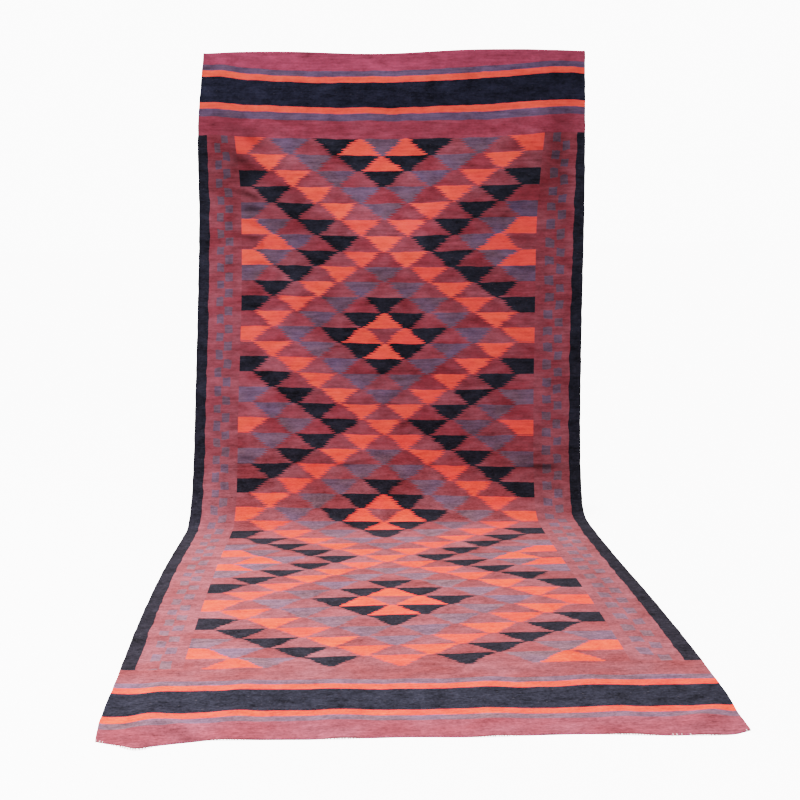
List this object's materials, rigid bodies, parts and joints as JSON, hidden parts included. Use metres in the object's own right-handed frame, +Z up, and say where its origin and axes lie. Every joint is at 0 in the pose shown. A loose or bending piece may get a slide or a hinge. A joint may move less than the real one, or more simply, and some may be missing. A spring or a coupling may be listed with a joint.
{
  "type": "kilim rug",
  "caption": "Flat-woven wool rug that hangs by its top edge, curves forward near the floor and lies flat towards the viewer.",
  "frame": {"origin": "on the floor plane, under the middle of the rug's bounding box", "axes": "+X to the right across the rug, +Y away from the viewer towards the hanging part, +Z up"},
  "size_m": [1.766, 2.0022, 2.0071],
  "materials": {
    "woven_wool": "matt flat-woven wool"
  },
  "bodies": {
    "root": {"kilim": "woven_wool"}
  },
  "joints": []
}
